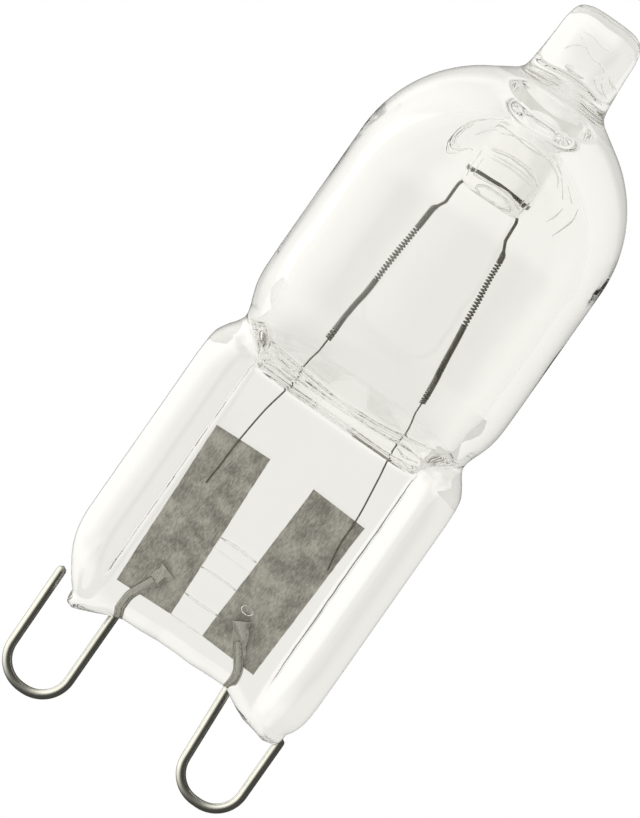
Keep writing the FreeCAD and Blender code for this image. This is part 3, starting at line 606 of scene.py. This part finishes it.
def foil_sheet(side, place, lean, crease_place):
    """A foil from a fine grid, with the creases that its weld pulled into it, and its thickness."""
    bpy.ops.object.select_all(action="DESELECT")
    bpy.ops.mesh.primitive_grid_add(x_subdivisions=50, y_subdivisions=140, size=2)
    foil = bpy.context.object
    foil.name = f"sealing_foil_{side}"
    foil.data.name = foil.name
    turn = Matrix.Rotation(math.radians(lean), 3, "Y")
    centre = Vector((place, FOIL_DEPTH, FOIL_HEIGHT))
    for vertex in foil.data.vertices:
        x, z = vertex.co.x * FOIL_WIDTH / 2, vertex.co.y * FOIL_LENGTH / 2
        edge_ripple = 0.02 * noise.noise(Vector((z * 2.5, place, 0.0)))
        x += edge_ripple * vertex.co.x
        spot = centre + turn @ Vector((x, 0, z))
        near = math.exp(-(((spot.x - crease_place) / 0.7) ** 2) - ((spot.z - CREASE_HEIGHT) / 0.9) ** 2)
        crease = CREASE_DEPTH * near * math.sin((spot.x - crease_place) * 7.0 + spot.z * 3.0)
        spot.y += crease + 0.015 * noise.noise(Vector((spot.x * 1.5, place, spot.z * 0.8)))
        vertex.co = spot * MM
    thick = foil.modifiers.new("thickness", "SOLIDIFY")
    thick.thickness = FOIL_THICKNESS * MM
    thick.offset = 0.0
    bpy.ops.object.modifier_apply(modifier=thick.name)
    bpy.ops.object.shade_smooth_by_angle(angle=math.radians(40))
    foil.data.materials.append(foil_metal)
    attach(foil, "root")
    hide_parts(f"foil_{side}")


for side, (place, lean, crease_place) in FOILS.items():
    foil_sheet(side, place, lean, crease_place)


# Contact loops. Molybdenum wire 0.5 mm thick, cut and bent cold into a U. One end is hammered flat and
# welded to the foil; the other comes back up to the corner of the press. The drawn surface is bright.
WIRE_RADIUS = 0.25
WIRE_STEP = 0.1
# each loop: the corners of its middle line and the two ends of its weld flat (across, height), from the
# free end on, and the radii of its bends
LOOPS = {
    "left": {
        "corners": ((-6.66, 6.27), (-6.61, 0.25), (-3.29, 0.25), (-3.29, 7.0), (-2.72, 8.3)),
        "bends": (1.6, 1.6, 1.2),
        "flat": ((-2.92, 7.5), (-2.39, 9.05)),
    },
    "right": {
        "corners": ((6.75, 5.5), (6.74, 0.56), (3.54, 0.56), (3.16, 7.0), (2.3, 8.2)),
        "bends": (1.55, 1.55, 1.2),
        "flat": ((2.87, 7.45), (1.88, 9.1)),
    },
}

# Drawn molybdenum wire: a bright, slightly warm grey metal with soft, faintly lined highlights. Real
# drawing lines are a few thousandths of a millimetre apart; they are drawn 0.05 mm apart, to show.
DRAWN_LINES_A_MM = (20.0, 20.0, 1.5)
STAINS_A_MM = 1.4
wire_metal, tree = new_material("drawn_molybdenum_wire")
where = add_node(tree, "ShaderNodeTexCoord").outputs["Object"]
drawn = add_node(tree, "ShaderNodeMapping", {"Scale": Vector(DRAWN_LINES_A_MM) / MM}, {"Vector": where})
scratches = add_node(tree, "ShaderNodeTexNoise", {"Scale": 1.0, "Detail": 3.0}, {
    "Vector": drawn.outputs["Vector"],
})
stain = add_node(tree, "ShaderNodeTexNoise", {"Scale": STAINS_A_MM / MM, "Detail": 2.0}, {"Vector": where})
colour = add_node(tree, "ShaderNodeMix", links={"Factor": stain.outputs[0]}, data_type="RGBA")
colour.inputs["A"].default_value = to_linear("#A3A299")
colour.inputs["B"].default_value = to_linear("#B9B8B0")
rough = add_node(tree, "ShaderNodeMapRange", {"To Min": 0.2, "To Max": 0.32}, {
    "Value": scratches.outputs[0],
})
bump = add_node(tree, "ShaderNodeBump", {"Strength": 0.1, "Distance": 0.00001}, {
    "Height": scratches.outputs[0],
})
bright = add_node(tree, "ShaderNodeBsdfPrincipled", {"Metallic": 1.0}, {
    "Base Color": colour.outputs["Result"],
    "Roughness": rough.outputs["Result"],
    "Normal": bump.outputs["Normal"],
})
add_node(tree, "ShaderNodeOutputMaterial", links={"Surface": bright.outputs["BSDF"]})


def bent_route(corners, bends, spacing):
    """Points along straight runs between corners (across, height), joined by round bends."""
    places = [Vector((across, height)) for across, height in corners]
    route = [places[0]]
    for before, corner, after, radius in zip(places, places[1:], places[2:], bends):
        back = (before - corner).normalized()
        ahead = (after - corner).normalized()
        half_angle = back.angle(ahead) / 2
        entry = corner + back * (radius / math.tan(half_angle))
        centre = corner + (back + ahead).normalized() * (radius / math.sin(half_angle))
        sweep = math.pi - 2 * half_angle
        spoke = entry - centre
        sign = 1.0 if back.cross(ahead) < 0 else -1.0
        steps = max(2, math.ceil(sweep * radius / spacing))
        for step in range(steps + 1):
            angle = sign * sweep * step / steps
            turned = Vector((
                spoke.x * math.cos(angle) - spoke.y * math.sin(angle),
                spoke.x * math.sin(angle) + spoke.y * math.cos(angle),
            ))
            route.append(centre + turned)
    route.append(places[-1])
    return route


def evened(route, spacing):
    """The same route with points a fixed distance apart."""
    xs = np.array([point.x for point in route])
    zs = np.array([point.y for point in route])
    run = np.concatenate([[0.0], np.cumsum(np.hypot(np.diff(xs), np.diff(zs)))])
    even = np.linspace(0.0, run[-1], max(2, round(run[-1] / spacing)) + 1)
    return even, np.interp(even, run, xs), np.interp(even, run, zs)


def weld_flat(side, start, end):
    """The hammered end of a loop: a thin tapered blade with soft edges, against the foil."""
    length = math.dist(start, end)
    lean = math.atan2(end[0] - start[0], end[1] - start[1])
    bpy.ops.object.select_all(action="DESELECT")
    bpy.ops.mesh.primitive_cube_add(size=1)
    blade = bpy.context.object
    blade.name = f"weld_flat_{side}"
    blade.data.name = blade.name
    bpy.ops.object.mode_set(mode="EDIT")
    bpy.ops.mesh.select_all(action="SELECT")
    bpy.ops.mesh.subdivide(number_cuts=5)
    bpy.ops.object.mode_set(mode="OBJECT")

    # it widens towards its end, has a ridge down its front, and its sides and front are ragged
    for vertex in blade.data.vertices:
        x, y, z = vertex.co
        width = 0.5 + 0.42 * (z + 0.5)
        ridge = 0.20 * (1.0 - abs(x - 0.12) / 0.62)
        front = 0.10 + ridge + 0.05 * (0.5 - z) + 0.04 * math.sin(9 * z + 5 * x)
        ragged = 1.0 + 0.12 * math.sin(14 * z)
        vertex.co = Vector((x * width * ragged, 0.08 if y > 0 else -front, z * length))
    soft = blade.modifiers.new("soft_edges", "BEVEL")
    soft.width = 0.03
    soft.segments = 2
    bpy.ops.object.modifier_apply(modifier=soft.name)
    turn = Matrix.Rotation(lean, 3, "Y")
    centre = Vector(((start[0] + end[0]) / 2, FOIL_DEPTH - 0.1, (start[1] + end[1]) / 2))
    for vertex in blade.data.vertices:
        vertex.co = (centre + turn @ vertex.co) * MM
    bpy.ops.object.shade_smooth_by_angle(angle=math.radians(40))
    return blade


def contact_loop(side, shape):
    """One loop with its rounded free end and its weld flat."""
    run, xs, zs = evened(bent_route(shape["corners"], shape["bends"], WIRE_STEP), WIRE_STEP)

    # the free end is rounded over by a wire's radius
    rounding = np.minimum(run / WIRE_RADIUS, 1.0)
    radii = WIRE_RADIUS * np.sqrt(np.maximum(1.0 - (1.0 - rounding) ** 2, 0.02))
    wire = wire_mesh(f"contact_loop_wire_{side}", [(x, 0.0, z) for x, z in zip(xs, zs)], radii, 8)
    flat = weld_flat(side, *shape["flat"])
    bpy.ops.object.select_all(action="DESELECT")
    flat.select_set(True)
    wire.select_set(True)
    bpy.context.view_layer.objects.active = wire
    bpy.ops.object.join()
    wire.data.materials.append(wire_metal)
    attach(wire, "root")
    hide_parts(f"contact_loop_{side}")


for side, shape in LOOPS.items():
    contact_loop(side, shape)


# Inner leads. Hair-thin drawn wires, welded to the foils, that come up through the cavity's floor and
# push into the filament's feet. They are plain dark metal.
LEAD_RADIUS = 0.045
LEAD_DEPTH = 0.205
# each lead from its foil up: (across, height)
LEADS = {
    "left": (
        (-3.35, 13.6), (-3.29, 14.6), (-3.22, 16.3), (-3.06, 18.0), (-2.78, 19.6), (-2.7, 20.7),
        (-2.56, 22.2), (-2.49, 23.1),
    ),
    "right": (
        (3.88, 13.5), (3.66, 14.8), (3.64, 16.2), (3.38, 18.4), (3.17, 19.9), (3.14, 21.0),
        (3.02, 22.4), (2.95, 23.3),
    ),
}

# Drawn tungsten: a dark brownish grey metal, half dull, with patches about 0.2 mm long.
PATCHES_A_MM = 5.0
dark_wire, tree = new_material("tungsten_wire")
where = add_node(tree, "ShaderNodeTexCoord").outputs["Object"]
drawn = add_node(tree, "ShaderNodeTexNoise", {"Scale": PATCHES_A_MM / MM, "Detail": 2.0}, {"Vector": where})
colour = add_node(tree, "ShaderNodeMix", links={"Factor": drawn.outputs[0]}, data_type="RGBA")
colour.inputs["A"].default_value = to_linear("#5C5A4E")
colour.inputs["B"].default_value = to_linear("#8C897B")
dull = add_node(tree, "ShaderNodeBsdfPrincipled", {"Metallic": 0.75, "Roughness": 0.42}, {
    "Base Color": colour.outputs["Result"],
})
add_node(tree, "ShaderNodeOutputMaterial", links={"Surface": dull.outputs["BSDF"]})

for side, route in LEADS.items():
    rows = smoothed([(across, height, 0.0) for across, height in route], 8)
    points = [(row[0], LEAD_DEPTH, row[1]) for row in rows]
    lead = wire_mesh(f"inner_lead_wire_{side}", points, [LEAD_RADIUS] * len(points), 3)
    lead.data.materials.append(dark_wire)
    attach(lead, "root")
    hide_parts(f"inner_lead_{side}")


# Filament. One tungsten wire wound into a coil: closely wound at its feet and below the stub, open in
# between, and wound smaller where it runs through the glass stub that holds it.
COIL_WIRE_RADIUS = 0.042
COIL_RADIUS = 0.125
LINK_COIL_RADIUS = 0.05
CLOSE_PITCH = 0.095
OPEN_PITCH = 0.172
POINTS_A_TURN = 12
# the coil's middle line, foot to foot: (across, height)
FILAMENT_ROUTE = (
    (-2.53, 22.8), (-2.03, 29.75), (-1.98, 30.9), (-1.65, 31.75), (-1.66, 32.9), (-1.25, 33.9), (0.0, 33.98),
    (1.25, 33.95), (1.72, 32.95), (1.76, 31.9), (2.06, 31.0), (3.0, 22.85),
)
FILAMENT_BENDS = (2.0, 0.3, 0.3, 0.5, 0.35, 0.5, 0.35, 0.4, 0.5, 0.4)
# how finely the middle line is followed while the turns are counted
FINE_STEP = 0.004
# where the turns stand open on each leg: (lower height, upper height)
OPEN_STRETCHES = {"left": (26.4, 29.55), "right": (27.0, 30.45)}
# where the coil gets smaller: from this height, over this much
LINK_BASE = 30.95
LINK_BLEND = 0.35

route = bent_route(FILAMENT_ROUTE, FILAMENT_BENDS, 0.03)
run, xs, zs = evened(route, FINE_STEP)
slopes = np.stack([np.gradient(xs), np.gradient(zs)], axis=1)
slopes /= np.linalg.norm(slopes, axis=1)[:, None]
low_left, high_left = OPEN_STRETCHES["left"]
low_right, high_right = OPEN_STRETCHES["right"]
open_turns = np.where(xs < 0, (zs > low_left) & (zs < high_left), (zs > low_right) & (zs < high_right))
in_link = ease(LINK_BASE, LINK_BASE + LINK_BLEND, zs)
pitch = np.where(open_turns, OPEN_PITCH, CLOSE_PITCH) * (1.0 - 0.15 * in_link)
radius = COIL_RADIUS + (LINK_COIL_RADIUS - COIL_RADIUS) * in_link
turn = np.cumsum(2 * math.pi * FINE_STEP / pitch)

# the wire turns round the coil's middle line, with the same number of points in every turn
marks = np.interp(np.arange(0.0, turn[-1], 2 * math.pi / POINTS_A_TURN), turn, np.arange(len(turn)))
points = []
for mark in marks:
    i = int(mark)
    side_way = math.cos(turn[i]) * radius[i]
    points.append((
        xs[i] + slopes[i][1] * side_way,
        LEAD_DEPTH + math.sin(turn[i]) * radius[i],
        zs[i] - slopes[i][0] * side_way,
    ))
filament = wire_mesh("coiled_filament", points, [COIL_WIRE_RADIUS] * len(points), 2)
filament.data.materials.append(dark_wire)
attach(filament, "root")
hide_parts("filament")


# Ground, light and camera. The ground is a plain white sheet well under the lamp. The world is a pale
# studio, bright on the left and dim on the right, which gives the wires their light and dark sides.
# in metres
GROUND_HEIGHT = -0.03
GROUND_SIZE = 0.3
bpy.ops.object.select_all(action="DESELECT")
bpy.ops.mesh.primitive_plane_add(size=GROUND_SIZE, location=(0, 0, GROUND_HEIGHT))
ground = bpy.context.object
ground.name = "ground"
ground.visible_glossy = False

# Uncoated white paper: matt, with a faint grain. Real fibres are finer than a pixel, so the grain is
# drawn about 3 mm long.
GRAINS_A_MM = 0.3
paper, tree = new_material("white_paper")
where = add_node(tree, "ShaderNodeTexCoord").outputs["Object"]
grain = add_node(tree, "ShaderNodeTexNoise", {"Scale": GRAINS_A_MM / MM, "Detail": 2.0}, {"Vector": where})
bump = add_node(tree, "ShaderNodeBump", {"Strength": 0.1, "Distance": 0.0001}, {"Height": grain.outputs[0]})
matt = add_node(tree, "ShaderNodeBsdfPrincipled", {"Base Color": to_linear("#F4F4F2"), "Roughness": 0.8}, {
    "Normal": bump.outputs["Normal"],
})
add_node(tree, "ShaderNodeOutputMaterial", links={"Surface": matt.outputs["BSDF"]})
ground.data.materials.append(paper)


def set_ramp(node, stops):
    """Gives a colour ramp grey stops (place, level)."""
    steps = node.color_ramp.elements
    while len(steps) < len(stops):
        steps.new(0.5)
    for step, (place, grey) in zip(steps, stops):
        step.position = place
        step.color = (grey, grey, grey, 1.0)


# the directions of the light side of the studio and of the middle of its backdrop, seen from the lamp
KEY_WAY = (-0.97, -0.20, 0.15)
BACKDROP_WAY = (0.0, 0.9945, -0.1045)
# what the metal mirrors: (place from the dark side to the light side, level), and its strength
MIRRORED = ((0.0, 0.05), (0.5, 0.05), (0.62, 0.12), (0.75, 0.55), (0.88, 1.0))
MIRRORED_STRENGTH = 2.5
# what shows through the glass, from the backdrop's middle round to the wall opposite, with black flags
# between them, which give clear glass its dark outlines: (share of the half turn, level)
SHOWN_THROUGH = (
    (0.0, 0.89), (0.02, 0.89), (0.07, 1.0), (0.36, 1.0), (0.5, 0.8), (0.56, 0.12), (0.67, 0.06),
    (0.75, 0.8), (1.0, 0.9),
)
# the light side stays white, and a broad strip of the backdrop is a little greyer than the rest
LIGHT_SIDE = ((0.6, 0.0), (0.78, 1.0))
GREYER_STRIP = ((0.19, 1.0), (0.25, 0.88), (0.45, 0.88), (0.495, 1.0))
PLAIN_LEVEL = 0.75
WARM_WHITE = (1.0, 0.99, 0.95, 1.0)
WHITE = (1.0, 1.0, 1.0, 1.0)

world = bpy.data.worlds.new("studio")
bpy.context.scene.world = world
world.use_nodes = True
tree = world.node_tree
tree.nodes.clear()
way = add_node(tree, "ShaderNodeTexCoord").outputs["Generated"]
path = add_node(tree, "ShaderNodeLightPath")

to_key = add_node(tree, "ShaderNodeVectorMath", {1: KEY_WAY}, {0: way}, operation="DOT_PRODUCT")
key_share = add_node(tree, "ShaderNodeMapRange", {"From Min": -1.0, "From Max": 1.0}, {
    "Value": to_key.outputs["Value"],
})
mirrored = add_node(tree, "ShaderNodeValToRGB", links={"Fac": key_share.outputs["Result"]})
set_ramp(mirrored, MIRRORED)
mirrored = add_node(tree, "ShaderNodeVectorMath", {1: [MIRRORED_STRENGTH] * 3}, {
    0: mirrored.outputs["Color"],
}, operation="MULTIPLY")

ahead = add_node(tree, "ShaderNodeVectorMath", {1: BACKDROP_WAY}, {0: way}, operation="DOT_PRODUCT")
off_axis = add_node(tree, "ShaderNodeMath", links={0: ahead.outputs["Value"]}, operation="ARCCOSINE")
turn_share = add_node(tree, "ShaderNodeMapRange", {"From Max": math.pi}, {
    "Value": off_axis.outputs["Value"],
})
shown = add_node(tree, "ShaderNodeValToRGB", links={"Fac": turn_share.outputs["Result"]})
set_ramp(shown, SHOWN_THROUGH)
light_side = add_node(tree, "ShaderNodeValToRGB", links={"Fac": key_share.outputs["Result"]})
set_ramp(light_side, LIGHT_SIDE)
across = add_node(tree, "ShaderNodeSeparateXYZ", links={"Vector": way})
across_share = add_node(tree, "ShaderNodeMapRange", {"From Min": -1.0, "From Max": 1.0}, {
    "Value": across.outputs["X"],
})
strip = add_node(tree, "ShaderNodeValToRGB", links={"Fac": across_share.outputs["Result"]})
set_ramp(strip, GREYER_STRIP)
around = add_node(tree, "ShaderNodeVectorMath", links={
    0: shown.outputs["Color"],
    1: light_side.outputs["Color"],
}, operation="MAXIMUM")
behind = add_node(tree, "ShaderNodeVectorMath", links={
    0: around.outputs["Vector"],
    1: strip.outputs["Color"],
}, operation="MULTIPLY")

# one level for each kind of ray: plain for the light itself, then mirrored, shown through, and white
level = add_node(tree, "ShaderNodeMix", {"A": PLAIN_LEVEL}, {
    "Factor": path.outputs["Is Glossy Ray"],
    "B": mirrored.outputs["Vector"],
})
level = add_node(tree, "ShaderNodeMix", links={
    "Factor": path.outputs["Is Transmission Ray"],
    "A": level.outputs["Result"],
    "B": behind.outputs["Vector"],
})
level = add_node(tree, "ShaderNodeMix", {"B": 1.0}, {
    "Factor": path.outputs["Is Camera Ray"],
    "A": level.outputs["Result"],
})
tint = add_node(tree, "ShaderNodeMix", links={"Factor": path.outputs["Is Camera Ray"]}, data_type="RGBA")
tint.inputs["A"].default_value = WARM_WHITE
tint.inputs["B"].default_value = WHITE
light = add_node(tree, "ShaderNodeBackground", links={
    "Color": tint.outputs["Result"],
    "Strength": level.outputs["Result"],
})
add_node(tree, "ShaderNodeOutputWorld", links={"Surface": light.outputs["Background"]})

# one softbox on the left in front: its size, place and aim in metres, and its power
KEY_SIZE = 0.12
KEY_PLACE = (-0.16, -0.12, 0.16)
KEY_AIM = Vector((0.0, 0.0, 0.02))
KEY_WATTS = 0.25
bpy.ops.object.light_add(type="AREA", location=KEY_PLACE)
key = bpy.context.object
key.name = "key_softbox"
key.data.shape = "SQUARE"
key.data.size = KEY_SIZE
key.data.energy = KEY_WATTS
key.visible_glossy = False
key.visible_transmission = False
key.rotation_euler = (KEY_AIM - key.location).to_track_quat("-Z", "Y").to_euler()


# The photograph is 640 by 818 pixels. One of its pixels spans 0.0482 mm of the lamp, whose axis leans
# 35 degrees to the right of upright in it and passes 18.5 pixels beside its middle.
PIXEL = 0.0482
PHOTO_HEIGHT = 818
PHOTO_MIDDLE = (-18.5 * PIXEL, 0.0, 408.0 * PIXEL)
LEAN = math.radians(35.0)
LOOK_DOWN = math.radians(6.0)
# the camera's distance in metres, and the width of its sensor in millimetres
DISTANCE = 0.5
SENSOR = 36.0
camera_data = bpy.data.cameras.new("camera")
camera = bpy.data.objects.new("camera", camera_data)
bpy.context.scene.collection.objects.link(camera)
lamp_up = Vector((0.0, math.sin(LOOK_DOWN), math.cos(LOOK_DOWN)))
lamp_right = Vector((1.0, 0.0, 0.0))
right = lamp_right * math.cos(LEAN) + lamp_up * math.sin(LEAN)
up = lamp_up * math.cos(LEAN) - lamp_right * math.sin(LEAN)
back = right.cross(up)
pose = Matrix((right, up, back)).transposed().to_4x4()
pose.translation = Vector(PHOTO_MIDDLE) * MM + back * DISTANCE
camera.matrix_world = pose
camera_data.sensor_width = SENSOR
camera_data.lens = SENSOR * DISTANCE / (PHOTO_HEIGHT * PIXEL * MM)
camera_data.clip_start = 0.01
camera_data.clip_end = 10.0
bpy.context.scene.camera = camera
bpy.context.scene.view_settings.view_transform = "Standard"

# Light crosses and skims many faces in the solid glass, so it is followed further than usual.
GLASS_BOUNCES = 32
bpy.context.scene.cycles.max_bounces = GLASS_BOUNCES
bpy.context.scene.cycles.transmission_bounces = GLASS_BOUNCES
bpy.context.scene.cycles.glossy_bounces = GLASS_BOUNCES
